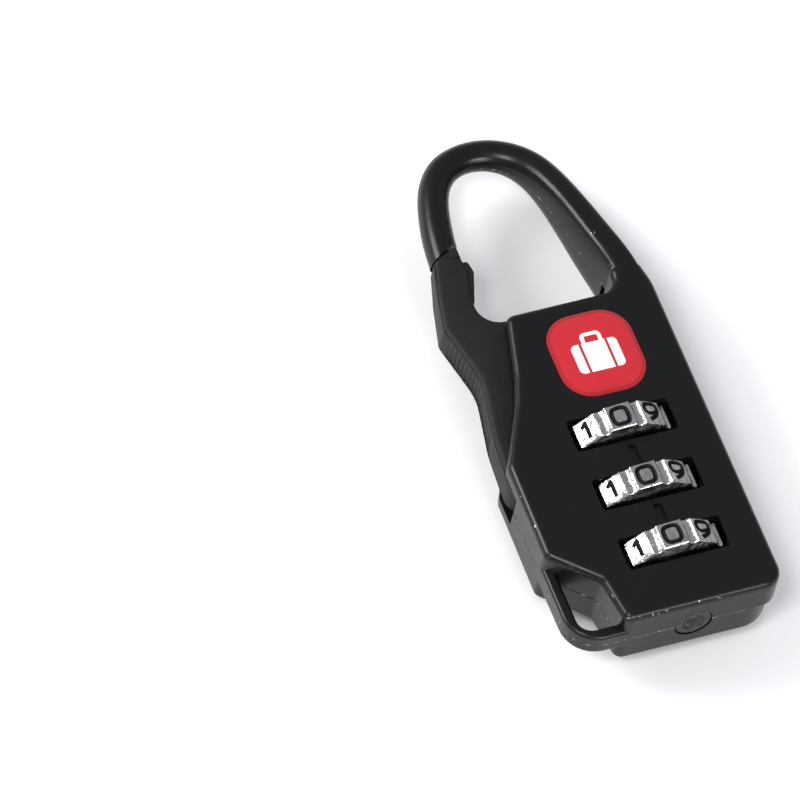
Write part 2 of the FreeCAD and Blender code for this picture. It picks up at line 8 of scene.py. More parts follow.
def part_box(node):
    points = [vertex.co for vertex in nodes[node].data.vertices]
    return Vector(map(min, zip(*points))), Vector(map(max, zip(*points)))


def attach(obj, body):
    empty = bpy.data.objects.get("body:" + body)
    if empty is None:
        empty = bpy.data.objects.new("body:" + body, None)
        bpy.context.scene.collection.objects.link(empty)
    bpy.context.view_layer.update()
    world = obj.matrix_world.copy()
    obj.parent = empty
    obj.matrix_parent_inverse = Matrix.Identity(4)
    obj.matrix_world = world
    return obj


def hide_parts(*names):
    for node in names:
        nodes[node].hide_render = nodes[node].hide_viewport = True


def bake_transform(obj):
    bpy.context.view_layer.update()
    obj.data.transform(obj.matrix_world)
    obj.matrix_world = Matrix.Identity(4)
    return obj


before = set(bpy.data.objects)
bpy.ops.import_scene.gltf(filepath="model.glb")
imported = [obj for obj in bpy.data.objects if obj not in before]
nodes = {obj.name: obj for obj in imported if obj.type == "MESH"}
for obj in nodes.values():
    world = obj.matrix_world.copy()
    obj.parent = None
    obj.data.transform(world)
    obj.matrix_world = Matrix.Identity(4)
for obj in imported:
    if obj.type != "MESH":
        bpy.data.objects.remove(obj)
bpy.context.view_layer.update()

# ---------------------------------------------------------------- casings and hook
# Two zinc die castings pressed together along a seam halfway through the lock; the front one carries the
# hook. Both are sprayed with black enamel, which is chipped to bare metal along the edges of the face.

MM = 0.001
ENAMEL = (0.004, 0.004, 0.0043, 1)
BARE_ZINC = (0.62, 0.63, 0.65, 1)
SEAM_LINE = 0.16 * MM
EDGE_REACH = 0.45 * MM    # half the height of the rounding between a face and its edge


class Value:
    """One output of a node in a finish; arithmetic on it adds Math nodes to the same finish."""

    def __init__(self, finish, socket):
        self.finish = finish
        self.socket = socket

    def maths(self, operation, *others, clamp=False):
        inputs = dict(enumerate((self, *others)))
        return self.finish.node("Math", {"operation": operation, "use_clamp": clamp}, inputs)

    def __add__(self, other):
        return self.maths("ADD", other)

    def __mul__(self, other):
        return self.maths("MULTIPLY", other)

    def __sub__(self, other):
        return self.maths("SUBTRACT", other)

    def __truediv__(self, other):
        return self.maths("DIVIDE", other)

    def __rsub__(self, other):
        return self.maths("MULTIPLY", -1) + other

    __radd__ = __add__
    __rmul__ = __mul__

    def size(self):
        return self.maths("ABSOLUTE")

    def at_least(self, other):
        return self.maths("MAXIMUM", other)

    def ramp(self, low, high):
        """0 below low and 1 above high, with a straight slope between."""
        return ((self - low) / (high - low)).maths("ADD", 0, clamp=True)

    def near(self, middle, reach):
        """1 at the middle, falling to 0 at the reach to either side."""
        return 1 - (self - middle).size().ramp(0, reach)


class Finish:
    """A material with one Principled shader, and the nodes that feed it."""

    def __init__(self, name, **constants):
        self.material = bpy.data.materials.new(name)
        self.material.use_nodes = True
        self.tree = self.material.node_tree
        self.shader = self.tree.nodes["Principled BSDF"]
        self.place = self.node("TexCoord", output="Object")
        self.x, self.y, self.z = (self.node("SeparateXYZ", None, {0: self.place}, axis) for axis in "XYZ")
        self.set(**constants)

    def node(self, kind, settings=None, inputs=None, output=0):
        """Add a node: its settings come first, then the values or links of its sockets."""
        item = self.tree.nodes.new(f"ShaderNode{kind}")
        for name, value in (settings or {}).items():
            setattr(item, name, value)
        for name, value in (inputs or {}).items():
            self.feed(item.inputs[name], value)
        return Value(self, item.outputs[output])

    def feed(self, socket, value):
        if isinstance(value, Value):
            self.tree.links.new(value.socket, socket)
        else:
            socket.default_value = value

    def set(self, **sockets):
        """Feed the shader's sockets; Base_Color stands for Base Color."""
        for name, value in sockets.items():
            self.feed(self.shader.inputs[name.replace("_", " ")], value)

    def noise(self, grain, detail=2, stretch=None):
        """Noise whose features are about one grain across, in metres."""
        place = self.place
        if stretch:
            place = self.node("VectorMath", {"operation": "MULTIPLY"}, {0: place, 1: stretch})
        return self.node("TexNoise", None, {"Vector": place, "Scale": 1 / grain, "Detail": detail})

    def mix(self, share, first, second):
        """Blend of two colours."""
        return self.node("Mix", {"data_type": "RGBA"}, {0: share, 6: first, 7: second}, 2)

    def bump(self, height, depth):
        """Raise the surface by a height field of 0 to 1, times a depth in metres."""
        self.set(Normal=self.node("Bump", None, {"Height": height, "Distance": depth}, "Normal"))


def dress(name, finish):
    """Give a CAD node its finish in place of the plain one."""
    item = nodes[name]
    item.data.materials.clear()
    item.data.materials.append(finish.material)


def enamel(name, lowest, seam_height, highest):
    """Black enamel, chipped where a casing's face turns over its edge and rubbed along the seam."""
    finish = Finish(name, Specular_IOR_Level=0.32)
    orange_peel = finish.noise(0.9 * MM, 2)
    dust = finish.noise(0.16 * MM, 1)
    patches = finish.noise(2.6 * MM, 1).ramp(0.55, 0.62)
    chips = finish.noise(0.42 * MM, 3).ramp(0.62, 0.68) * patches
    edge = finish.z.near(lowest, EDGE_REACH).at_least(finish.z.near(highest, EDGE_REACH))
    seam = finish.z.near(seam_height, SEAM_LINE) * finish.noise(0.5 * MM, 2).ramp(0.56, 0.64)
    bare = (chips * edge.ramp(0.3, 0.8)).at_least(seam * 0.5)
    finish.set(
        Base_Color=finish.mix(bare, ENAMEL, BARE_ZINC),
        Roughness=finish.noise(2.2 * MM, 3).ramp(0.2, 0.9) * 0.08 + 0.27 + bare * 0.2,
        Metallic=bare * 0.6,
    )
    finish.bump(orange_peel * 0.35 + dust * 0.05 - bare * 0.8, 0.02 * MM)
    return finish


back_low, back_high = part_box("back_casing")
face_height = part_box("front_casing")[1].z
enamelled = enamel("casing_enamel", back_low.z + EDGE_REACH, back_high.z, face_height - EDGE_REACH)
dress("front_casing", enamelled)
dress("back_casing", enamelled)

# ---------------------------------------------------------------- inner metalwork
# What the casings hold: turned steel spindle, collar, washer, pins and dowels, darkened brass code sleeves,
# and springs of hard-drawn wire. None of it is painted; it carries turning marks and a trace of oil.


def turned(name, colour, roughness, members, axis):
    """Turned metal with fine rings round an axis."""
    finish = Finish(name, Base_Color=colour, Metallic=1.0)
    stretch = tuple(1.0 if letter == axis else 0.05 for letter in "xyz")
    rings = finish.noise(0.12 * MM, 2, stretch)
    oil = finish.noise(2.5 * MM, 3).ramp(0.4, 0.7)
    finish.set(
        Base_Color=finish.mix(oil * 0.35, colour, tuple(0.6 * channel for channel in colour[:3]) + (1,)),
        Roughness=roughness + rings * 0.12 - oil * 0.08,
    )
    finish.bump(rings, 0.012 * MM)
    for member in members:
        dress(member, finish)


STEEL = (0.56, 0.57, 0.59, 1)
DARK_BRASS = (0.05, 0.045, 0.038, 1)
SPRING_STEEL = (0.40, 0.41, 0.43, 1)
turned("turned_steel", STEEL, 0.26, ("spindle", "spindle_collar", "sleeve_washer"), "y")
turned("pin_steel", STEEL, 0.24, ("casing_dowels", "gate_pivot_pin"), "z")
SLEEVES = [f"code_sleeve_{number}" for number in (1, 2, 3)]
turned("darkened_brass", DARK_BRASS, 0.42, SLEEVES, "y")
SPRINGS = ("gate_spring", "spindle_spring", "sleeve_spring", "click_spring")
turned("spring_wire", SPRING_STEEL, 0.32, SPRINGS, "x")


def shortening_coil(node):
    """A copy of the CAD coil, with its place baked into the mesh, shown in place of the CAD node."""
    coil = bpy.data.objects.new(f"{node}_coil", nodes[node].data.copy())
    coil.matrix_world = nodes[node].matrix_world
    bpy.context.scene.collection.objects.link(coil)
    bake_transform(coil)
    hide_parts(node)


shortening_coil("spindle_spring")
shortening_coil("sleeve_spring")

# ---------------------------------------------------------------- reset button
# Blackened steel button that shows as a disc in the bottom end: a rounded rim, a shallow ring, and a
# cone-shaped dimple for the tip of a pen. The flange that keeps it in its bore is turned from the same bar.

# Half section of the button in millimetres: radius and depth behind its outer face, from the bottom of the
# dimple round to the blind bore at the back.
BUTTON_SECTION = [
    (0.0, 0.72), (0.28, 0.60), (0.92, 0.12), (1.04, 0.05), (1.18, 0.05), (1.28, 0.16), (1.40, 0.16),
    (1.50, 0.02), (1.62, 0.0), (2.20, 0.0), (2.36, 0.04), (2.46, 0.14), (2.48, 0.30), (2.48, 2.67),
    (3.38, 2.67), (3.45, 2.74), (3.45, 4.25), (3.38, 4.32), (1.35, 4.32), (1.35, 1.92), (0.0, 1.92),
]
BLACK_OXIDE = (0.022, 0.022, 0.024, 1)
WORN_OXIDE = (0.05, 0.05, 0.054, 1)


def add_piece(name, mesh, finishes, body, replaced):
    """Put a mesh in the scene with its finishes, the body it moves with and the CAD nodes it stands for."""
    piece = bpy.data.objects.new(name, mesh)
    bpy.context.scene.collection.objects.link(piece)
    for finish in finishes:
        mesh.materials.append(finish.material)
    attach(piece, body)
    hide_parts(*replaced)


def shade(mesh, angle=35):
    """Smooth the mesh's shading except across edges sharper than an angle in degrees."""
    mesh.shade_smooth()
    mesh.set_sharp_from_angle(angle=math.radians(angle))


def lathe(name, section, centre, axis, steps=96):
    """Turn a half section, given in millimetres, round an axis through a centre."""
    draft = bmesh.new()
    across = axis.orthogonal().normalized()
    rings = []
    for radius, depth in section:
        start = centre + axis * depth * MM
        count = steps if radius else 1
        ring = []
        for step in range(count):
            spoke = Matrix.Rotation(2 * math.pi * step / steps, 3, axis) @ across
            ring.append(draft.verts.new(start + spoke * radius * MM))
        rings.append(ring)
    for inner, outer in zip(rings, rings[1:]):
        for step in range(steps):
            ahead = (step + 1) % steps
            corners = [inner[step % len(inner)], outer[step % len(outer)]]
            corners += [outer[ahead % len(outer)], inner[ahead % len(inner)]]
            draft.faces.new(dict.fromkeys(corners))
    bmesh.ops.recalc_face_normals(draft, faces=draft.faces)
    mesh = bpy.data.meshes.new(name)
    draft.to_mesh(mesh)
    draft.free()
    shade(mesh)
    return mesh


button_low, button_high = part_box("reset_button")
button_centre = Vector(((button_low.x + button_high.x) / 2, button_low.y, (button_low.z + button_high.z) / 2))
oxide = Finish("button_oxide", Metallic=0.55)
turning = oxide.noise(0.1 * MM, 2)
oxide.set(
    Base_Color=oxide.mix(oxide.noise(0.8 * MM, 2).ramp(0.45, 0.75), BLACK_OXIDE, WORN_OXIDE),
    Roughness=0.34 + turning * 0.14,
)
oxide.bump(turning, 0.01 * MM)
button_mesh = lathe("reset_button_turned", BUTTON_SECTION, button_centre, Vector((0, 1, 0)))
add_piece("reset_button_turned", button_mesh, [oxide], "reset_button", ["reset_button"])

# ---------------------------------------------------------------- number wheels
# Three die-cast wheels, chromed bright. Ten flats carry the digits, which are sunk into the metal and filled
# with black; a hollow separates each flat from the next, and fingertips turn the wheels by these hollows.

WHEEL_WIDTH = 3.6
WHEEL_FLAT = 7.37
DIGIT_FLAT = 3.35
FLAT_TURN = 36       # degrees from one flat to the next
EASE = 0.05          # the flats fall away by this much at their ends
HOLLOW_DEPTH = 0.42
RIM_ROUND = 0.3
WHEEL_BORE = 3.6
WHEEL_COUNTERBORE = 4.35
NOTCH_DEPTH = 1.2    # length of the narrow part of the bore, which holds the sleeve's key
DIGIT_WIDTH = 2.1
DIGIT_HEIGHT = 2.3
STROKE = 0.30
STROKE_RISE = 0.03   # centre of a stroke's round section above the flat
WHEEL_TURN = 5.0     # degrees past the click, towards the lever
CHROME = (0.66, 0.65, 0.645, 1)
STAINED_CHROME = (0.30, 0.285, 0.27, 1)
FILL_BLACK = (0.002, 0.002, 0.002, 1)
FILL_GREY = (0.008, 0.0075, 0.007, 1)

# Strokes of the digits on a grid from -1 to 1 each way. A point given twice makes a sharp corner.
LOOP = [
    (0, 1), (0.7, 1), (0.95, 0.6), (1, 0), (0.95, -0.6), (0.7, -1), (0, -1),
    (-0.7, -1), (-0.95, -0.6), (-1, 0), (-0.95, 0.6), (-0.7, 1), (0, 1),
]
SIX = [(0.7, 1), (-0.5, 0.55), (-1, -0.2), (-1, -1), (0, -1.1), (1, -1), (1, 0.05), (0, 0.25), (-0.9, -0.15)]
DIGIT_STROKES = {
    0: [LOOP],
    1: [[(-0.6, 0.5), (0.1, 1), (0.1, 1), (0.1, -1)]],
    2: [[(-1, 0.5), (-0.9, 1), (0.9, 1.1), (1, 0.4), (0.2, -0.25), (-1, -1), (-1, -1), (1, -1)]],
    3: [
        [(-1, 0.85), (0.2, 1.2), (1, 0.8), (0.9, 0.1), (-0.1, 0.05)],
        [(-0.1, 0.05), (1.1, 0.05), (1.1, -0.9), (0.1, -1.2), (-1, -0.8)],
    ],
    4: [[(0.4, -1), (0.4, 1), (0.4, 1), (-1, -0.35), (-1, -0.35), (1, -0.35)]],
    5: [[
        (0.9, 1), (-0.8, 1), (-0.8, 1), (-0.9, 0.1), (-0.9, 0.1),
        (0.2, 0.4), (1.1, 0), (1, -0.9), (0, -1.15), (-1, -0.8),
    ]],
    6: [SIX],
    7: [[(-1, 1), (1, 1), (1, 1), (-0.2, -1)]],
    8: [[(0.85 * x, 0.5 + 0.48 * y) for x, y in LOOP], [(x, -0.5 + 0.52 * y) for x, y in LOOP]],
    9: [[(-x, -y) for x, y in SIX]],
}


def wheel_outline():
    """The wheel's outline in millimetres: ten flats with a round hollow between each two."""
    flat_half = DIGIT_FLAT / 2
    corner = math.hypot(WHEEL_FLAT, flat_half)
    turn_to_corner = math.atan2(flat_half, WHEEL_FLAT)
    hollow_half = math.radians(FLAT_TURN / 2) - turn_to_corner
    points = []
    for digit in range(10):
        start = math.radians(FLAT_TURN * digit)
        for share in (-1, -0.94, -0.5, 0, 0.5, 0.94, 1):
            x = share * flat_half
            out = WHEEL_FLAT - (EASE if abs(share) == 1 else 0)
            across = x * math.cos(start) - out * math.sin(start)
            up = x * math.sin(start) + out * math.cos(start)
            points.append((across, up))
        for share in (-0.72, -0.4, 0, 0.4, 0.72):
            turn = start + math.radians(FLAT_TURN / 2) + share * hollow_half
            reach = corner - EASE - HOLLOW_DEPTH * math.cos(share * math.pi / 2) ** 0.7
            points.append((-reach * math.sin(turn), reach * math.cos(turn)))
    return sorted(points, key=lambda point: math.atan2(point[1], point[0]))


def wheel_blank():
    """The wheel before its digits are sunk, about its own centre with its axis along y."""
    draft = bmesh.new()
    outline = wheel_outline()
    half = WHEEL_WIDTH / 2
    levels = [(-half, RIM_ROUND), (-half + 0.05, 0.14), (-half + 0.14, 0.05), (-half + RIM_ROUND, 0)]
    levels += [(-height, inset) for height, inset in reversed(levels)]
    loops = []
    for height, inset in levels:
        keep = 1 - inset / WHEEL_FLAT
        loops.append([draft.verts.new(Vector((x * keep, height, z * keep)) * MM) for x, z in outline])
    count = len(outline)
    ledge = -half + NOTCH_DEPTH
    bore_levels = [(half, WHEEL_COUNTERBORE), (ledge, WHEEL_COUNTERBORE)]
    bore_levels += [(ledge, WHEEL_BORE), (-half, WHEEL_BORE)]
    for height, radius in bore_levels:
        loop = []
        for x, z in outline:
            turn = math.atan2(z, x)
            spot = Vector((radius * math.cos(turn), height, radius * math.sin(turn)))
            loop.append(draft.verts.new(spot * MM))
        loops.append(loop)
    for near, far in zip(loops, loops[1:] + loops[:1]):
        for index in range(count):
            ahead = (index + 1) % count
            draft.faces.new((near[index], near[ahead], far[ahead], far[index]))
    bmesh.ops.recalc_face_normals(draft, faces=draft.faces)
    mesh = bpy.data.meshes.new("wheel_blank")
    draft.to_mesh(mesh)
    draft.free()
    return mesh


def digit_cutter():
    """Round-bottomed strokes of all ten digits, laid on their flats round the wheel."""
    cutter = bmesh.new()
    for digit, strokes in DIGIT_STROKES.items():
        for stroke in strokes:
            curve = bpy.data.curves.new("stroke", "CURVE")
            curve.dimensions = "3D"
            curve.bevel_depth = STROKE * MM
            curve.bevel_resolution = 3
            curve.resolution_u = 5
            curve.use_fill_caps = True
            spline = curve.splines.new("NURBS")
            spline.points.add(len(stroke) - 1)
            height = (WHEEL_FLAT + STROKE_RISE) * MM
            for point, (x, y) in zip(spline.points, stroke):
                point.co = (x * DIGIT_WIDTH / 2 * MM, y * DIGIT_HEIGHT / 2 * MM, height, 1)
            spline.order_u = 3
            spline.use_endpoint_u = True
            holder = bpy.data.objects.new("stroke", curve)
            mesh = bpy.data.meshes.new_from_object(holder)
            mesh.transform(Matrix.Rotation(math.radians(-FLAT_TURN * digit), 4, "Y"))
            cutter.from_mesh(mesh)
            bpy.data.objects.remove(holder)
            bpy.data.curves.remove(curve)
            bpy.data.meshes.remove(mesh)
    mesh = bpy.data.meshes.new("digit_strokes")
    cutter.to_mesh(mesh)
    cutter.free()
    return mesh


def carve(blank, cutter, operation="DIFFERENCE"):
    """Mesh left when one mesh is taken from another, or joined to it; each face keeps its own finish."""
    pair = []
    for mesh in (blank, cutter):
        holder = bpy.data.objects.new(mesh.name, mesh)
        bpy.context.scene.collection.objects.link(holder)
        pair.append(holder)
    boolean = pair[0].modifiers.new("cut", "BOOLEAN")
    boolean.operation = operation
    boolean.object = pair[1]
    boolean.solver = "EXACT"
    boolean.use_self = True
    boolean.material_mode = "TRANSFER"
    depsgraph = bpy.context.evaluated_depsgraph_get()
    result = bpy.data.meshes.new_from_object(pair[0].evaluated_get(depsgraph))
    for holder in pair:
        bpy.data.objects.remove(holder)
    return result


def chrome_plate():
    """Bright chrome with fine rubbed scratches and a little haze."""
    finish = Finish("wheel_chrome", Metallic=1.0)
    haze = finish.noise(1.3 * MM, 4).ramp(0.35, 0.75)
    stains = finish.noise(0.7 * MM, 3, (1, 0.35, 1)).ramp(0.5, 0.72)
    scratches = finish.noise(0.07 * MM, 2, (1, 0.12, 1))
    finish.set(
        Base_Color=finish.mix(haze * 0.3 + stains * 0.5, CHROME, STAINED_CHROME),
        Roughness=0.16 + haze * 0.12,
    )
    finish.bump(scratches * 0.1 + haze * 0.9, 0.13 * MM)
    return finish


def digit_black():
    """Thick black fill in the sunk digits, slightly glossy and grainy."""
    finish = Finish("digit_black", Specular_IOR_Level=0.15)
    grain = finish.noise(0.12 * MM, 2)
    finish.set(
        Base_Color=finish.mix(grain, FILL_BLACK, FILL_GREY),
        Roughness=0.45 + grain * 0.2,
    )
    finish.bump(grain, 0.01 * MM)
    return finish


plate = chrome_plate()
ink = digit_black()
blank = wheel_blank()
blank.materials.append(plate.material)
strokes = digit_cutter()
strokes.materials.append(ink.material)
carved = carve(blank, strokes)
shade(carved, 24)
for number in (1, 2, 3):
    low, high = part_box(f"number_wheel_{number}")
    mesh = carved.copy()
    turn = Matrix.Rotation(math.radians(-WHEEL_TURN), 4, "Y")
    mesh.transform(Matrix.Translation((low + high) / 2) @ turn)
    add_piece(f"dial_{number}", mesh, [], f"wheel_{number}", [f"number_wheel_{number}"])

# ---------------------------------------------------------------- gate lever
# Die-cast lever between the casings, shut against the hook's tip by its spring. Its black coat has a fine
# sand texture. The finger side is ribbed inside a sunk panel, and the lever thins towards the tip.

LEVER_HALF = 2.6
TIP_HALF = 1.85
OUTER_EDGE = 0.7     # rounding along the finger side
INNER_EDGE = 0.3
RIB_PITCH = 0.8
RIB_DEPTH = 0.16
PANEL_DEPTH = 0.22
PANEL_HALF = 1.95
PANEL_STEP = 0.12    # width of the step from the lever's side down into the panel
PANEL_START = 29.5
PANEL_END = 45.6
PANEL_SIDE = -12.5   # the panel lies to the left of this x
TAPER_START = 47.0
TAPER_END = 58.0
TAPER_STEP = 0.5     # the flat sides are cut across at these steps, so that they can follow the taper
TAPER_CUTS = 24
INNER_SIDE = -11.8   # to the right of this x the lever's edges have the smaller rounding
POINT_GAP = 0.12
LUG_HALF = 1.6
LUG_EDGE = 0.35
LUG_GAP = 0.2
PIVOT_BORE = 0.86
SPRING_SEAT = 2.1    # radius of the pocket round the pin for the coil
SEAT_FLOOR = 1.0

# Outlines in millimetres from the wheel axis and the bottom end's datum: x to the right, y towards the hook,
# and the corner's radius. PIVOT is the pin's place in them.
PIVOT = Vector((-13.1, 23.3))
LEVER_OUTLINE = [
    (-10.25, 25.8, 3), (-8.8, 36.5, 4), (-7.6, 39.6, 1.2), (-4.6, 40.85, 0.6), (-2.7, 40.85, 0.5),
    (-2.7, 42.0, 0.6), (-6.0, 43.3, 0.8), (-7.0, 45.85, 0.5), (-10.75, 45.85, 2.9), (-10.75, 50.6, 3),
    (-9.75, 54.0, 2), (-9.6, 58.7, 0.4), (-13.1, 57.1, 0.6), (-14.5, 52.4, 8), (-15.8, 46.8, 1.6),
    (-13.9, 38.4, 9), (-15.5, 30.0, 14), (-15.95, 23.3, 1.0), (-15.95, 20.45, 2.79), (-10.25, 20.45, 2.79),
]
LUG_OUTLINE = [(-11.5, 49.2, 0.1), (-10.3, 49.8, 1), (-8.6, 54.5, 1), (-8.9, 56.2, 0.4), (-11.5, 56.2, 0.1)]


def outline_points(corners, gap):
    """Evenly spaced points round an outline of rounded corners."""
    path = []
    for index, (x, y, radius) in enumerate(corners):
        here = Vector((x, y))
        before = (Vector(corners[index - 1][:2]) - here).normalized()
        after = (Vector(corners[(index + 1) % len(corners)][:2]) - here).normalized()
        half_angle = before.angle(after) / 2
        centre = here + (before + after).normalized() * radius / math.sin(half_angle)
        start = here + before * radius / math.tan(half_angle)
        end = here + after * radius / math.tan(half_angle)
        sweep = (start - centre).angle_signed(end - centre)
        for step in range(9):
            path.append(centre + Matrix.Rotation(-sweep * step / 8, 2) @ (start - centre))
    points = []
    left_over = 0.0
    for index, here in enumerate(path):
        ahead = path[(index + 1) % len(path)]
        length = (ahead - here).length
        while left_over < length:
            points.append(here.lerp(ahead, left_over / length))
            left_over += gap
        left_over -= length
    return points


def normals_out(points):
    """Outward normals of an anticlockwise outline."""
    normals = []
    for index in range(len(points)):
        along = (points[(index + 1) % len(points)] - points[index - 1]).normalized()
        normals.append(Vector((along.y, -along.x)))
    return normals


def lever_half(y):
    """Half thickness of the lever at a height along it."""
    share = min(max((y - TAPER_START) / (TAPER_END - TAPER_START), 0), 1)
    return LEVER_HALF + (TIP_HALF - LEVER_HALF) * share


def sunk(point, share):
    """How far the ribbed finger panel lies below the outline at a point; share is 1 inside the panel."""
    x, y = point
    if x > PANEL_SIDE or not PANEL_START < y < PANEL_END:
        return 0
    ease = min((y - PANEL_START) / 1.2, (PANEL_END - y) / 0.8, 1)
    rib = 0.5 + 0.5 * math.cos(2 * math.pi * y / RIB_PITCH)
    return share * ease * (PANEL_DEPTH - RIB_DEPTH * rib)


def lever_edge(point):
    """Rounding of the lever's edges at a point of its outline: larger on the finger side."""
    share = min(max(INNER_SIDE - point.x, 0), 1)
    return INNER_EDGE + (OUTER_EDGE - INNER_EDGE) * share


def slab(name, corners, half_at, edge_at, gap, panel=None):
    """A plate with the given outline; half_at and edge_at give its half thickness and its edges' rounding."""
    points = outline_points(corners, gap)
    outward = normals_out(points)
    draft = bmesh.new()
    loops = []
    rows = []
    for step in range(5):
        turn = math.pi / 8 * step
        rows.append((-1, 1 - math.cos(turn), 1 - math.sin(turn), 0))
    if panel:
        rows.append((-1, None, 0, 0))
        rows.append((-1, None, 0, 1))
    rows += [(1, rise, inset, share) for _, rise, inset, share in reversed(rows)]
    for side, rise, inset, share in rows:
        loop = []
        for point, normal in zip(points, outward):
            half = half_at(point.y)
            if rise is None:
                height = side * (PANEL_HALF + PANEL_STEP * (1 - share)) * half / LEVER_HALF
            else:
                height = side * (half - rise * edge_at(point))
            spot = point - normal * (inset * edge_at(point) + (panel(point, share) if panel else 0))
            loop.append(draft.verts.new((spot.x, spot.y, height)))
        loops.append(loop)
    count = len(points)
    for near, far in zip(loops, loops[1:]):
        for index in range(count):
            ahead = (index + 1) % count
            draft.faces.new((near[index], near[ahead], far[ahead], far[index]))
    draft.faces.new(list(reversed(loops[0])))
    draft.faces.new(loops[-1])
    for step in range(TAPER_CUTS):
        cut_at = Vector((0, TAPER_START + TAPER_STEP * (step - 1), 0))
        geometry = draft.verts[:] + draft.edges[:] + draft.faces[:]
        bmesh.ops.bisect_plane(draft, geom=geometry, plane_co=cut_at, plane_no=(0, 1, 0))
    for vertex in draft.verts:
        if abs(vertex.co.z) > half_at(vertex.co.y):
            vertex.co.z = math.copysign(half_at(vertex.co.y), vertex.co.z)
    bmesh.ops.recalc_face_normals(draft, faces=draft.faces)
    mesh = bpy.data.meshes.new(name)
    draft.to_mesh(mesh)
    draft.free()
    return mesh


SAND_BLACK = (0.006, 0.006, 0.0063, 1)
SAND_GREY = (0.04, 0.039, 0.038, 1)


def sand_coat():
    """Matt black coat with a fine sand texture and a few grey specks."""
    finish = Finish("lever_sand_coat", Specular_IOR_Level=0.28)
    sand = finish.noise(0.13 * MM, 3)
    specks = finish.noise(0.1 * MM, 1).ramp(0.70, 0.76)
    cloud = finish.noise(4.0 * MM, 2)
    finish.set(
        Base_Color=finish.mix(specks * 0.5 + cloud * 0.2, SAND_BLACK, SAND_GREY),
        Roughness=0.46 + sand * 0.14,
    )
    finish.bump(sand, 0.07 * MM)
    return finish


pin_low, pin_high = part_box("gate_pivot_pin")
pin_centre = (pin_low + pin_high) / 2
to_lock = Matrix.Translation(pin_centre) @ Matrix.Scale(MM, 4) @ Matrix.Translation((-PIVOT.x, -PIVOT.y, 0))
sand = sand_coat()
lever_mesh = slab("lever", LEVER_OUTLINE, lever_half, lever_edge, POINT_GAP, sunk)
lug_mesh = slab("lug", LUG_OUTLINE, lambda y: LUG_HALF, lambda point: LUG_EDGE, LUG_GAP)
for mesh in (lever_mesh, lug_mesh):
    mesh.materials.append(sand.material)
lever_mesh = carve(lever_mesh, lug_mesh, "UNION")
lever_mesh.transform(to_lock)
past = LEVER_HALF + 0.4
bore_section = [
    (0.0, -past), (PIVOT_BORE, -past), (PIVOT_BORE, SEAT_FLOOR),
    (SPRING_SEAT, SEAT_FLOOR), (SPRING_SEAT, past), (0.0, past),
]
bore_mesh = lathe("lever_bore", bore_section, pin_centre, Vector((0, 0, 1)), 48)
bore_mesh.materials.append(sand.material)
lever_mesh = carve(lever_mesh, bore_mesh)
shade(lever_mesh, 40)
add_piece("gate_lever_cast", lever_mesh, [], "gate", ["gate_lever"])

# ---------------------------------------------------------------- badge
# Red resin poured as a low dome into the recess above the wheels, over a print: a plain white suitcase.
# The resin is coloured a darker red in a narrow band round its rim.

BADGE_CORNER = 4.0
DOME_RISE = 0.34 * MM
BADGE_RED = (0.55, 0.008, 0.018, 1)
BADGE_RIM_RED = (0.36, 0.004, 0.008, 1)
PRINT_WHITE = (0.86, 0.88, 0.90, 1)
RIM_BAND = 0.55 * MM
CASE_WIDTH = 6.2 * MM
CASE_HEIGHT = 4.3 * MM
CASE_CORNER = 0.7 * MM
CASE_DROP = 0.6 * MM      # the case's middle lies below the badge's by this much
STRAP_PLACE = 1.75 * MM
STRAP_HALF = 0.16 * MM
HANDLE_WIDTH = 2.8 * MM
HANDLE_HEIGHT = 2.2 * MM
HANDLE_RISE = 0.35 * MM
HANDLE_HALF = 0.24 * MM
PRINT_EDGE = 0.04 * MM


def rounded_loop(draft, width, height, radius, z, centre):
    """A closed loop of points round a rounded rectangle."""
    loop = []
    for quarter, (sign_x, sign_y) in enumerate(((1, 1), (-1, 1), (-1, -1), (1, -1))):
        for step in range(13):
            turn = math.pi / 2 * (quarter + step / 12)
            x = sign_x * (width / 2 - radius) + radius * math.cos(turn)
            y = sign_y * (height / 2 - radius) + radius * math.sin(turn)
            loop.append(draft.verts.new((centre.x + x, centre.y + y, z)))
    return loop


def badge_dome():
    """Low dome over the whole badge, steepest round its rim."""
    low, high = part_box("badge")
    width = high.x - low.x
    height = high.y - low.y
    centre = (low + high) / 2
    draft = bmesh.new()
    loops = [rounded_loop(draft, width, height, BADGE_CORNER * MM, low.z, centre)]
    for share in (1, 0.994, 0.98, 0.95, 0.9, 0.82, 0.7, 0.55, 0.4, 0.25, 0.1):
        z = high.z - DOME_RISE * share ** 7
        loops.append(rounded_loop(draft, width * share, height * share, BADGE_CORNER * share * MM, z, centre))
    for near, far in zip(loops, loops[1:]):
        for index in range(len(near)):
            ahead = (index + 1) % len(near)
            draft.faces.new((near[index], near[ahead], far[ahead], far[index]))
    draft.faces.new(loops[-1])
    draft.faces.new(list(reversed(loops[0])))
    bmesh.ops.remove_doubles(draft, verts=draft.verts, dist=1e-7)
    bmesh.ops.recalc_face_normals(draft, faces=draft.faces)
    mesh = bpy.data.meshes.new("badge_dome")
    draft.to_mesh(mesh)
    draft.free()
    shade(mesh, 50)
    return mesh


def outside_of(across, up, width, height, corner):
    """Distance outside a rounded rectangle about the origin; negative inside its rounded core."""
    side = (across.size() - (width / 2 - corner)).at_least(0)
    top = (up.size() - (height / 2 - corner)).at_least(0)
    return (side * side + top * top).maths("SQRT") - corner


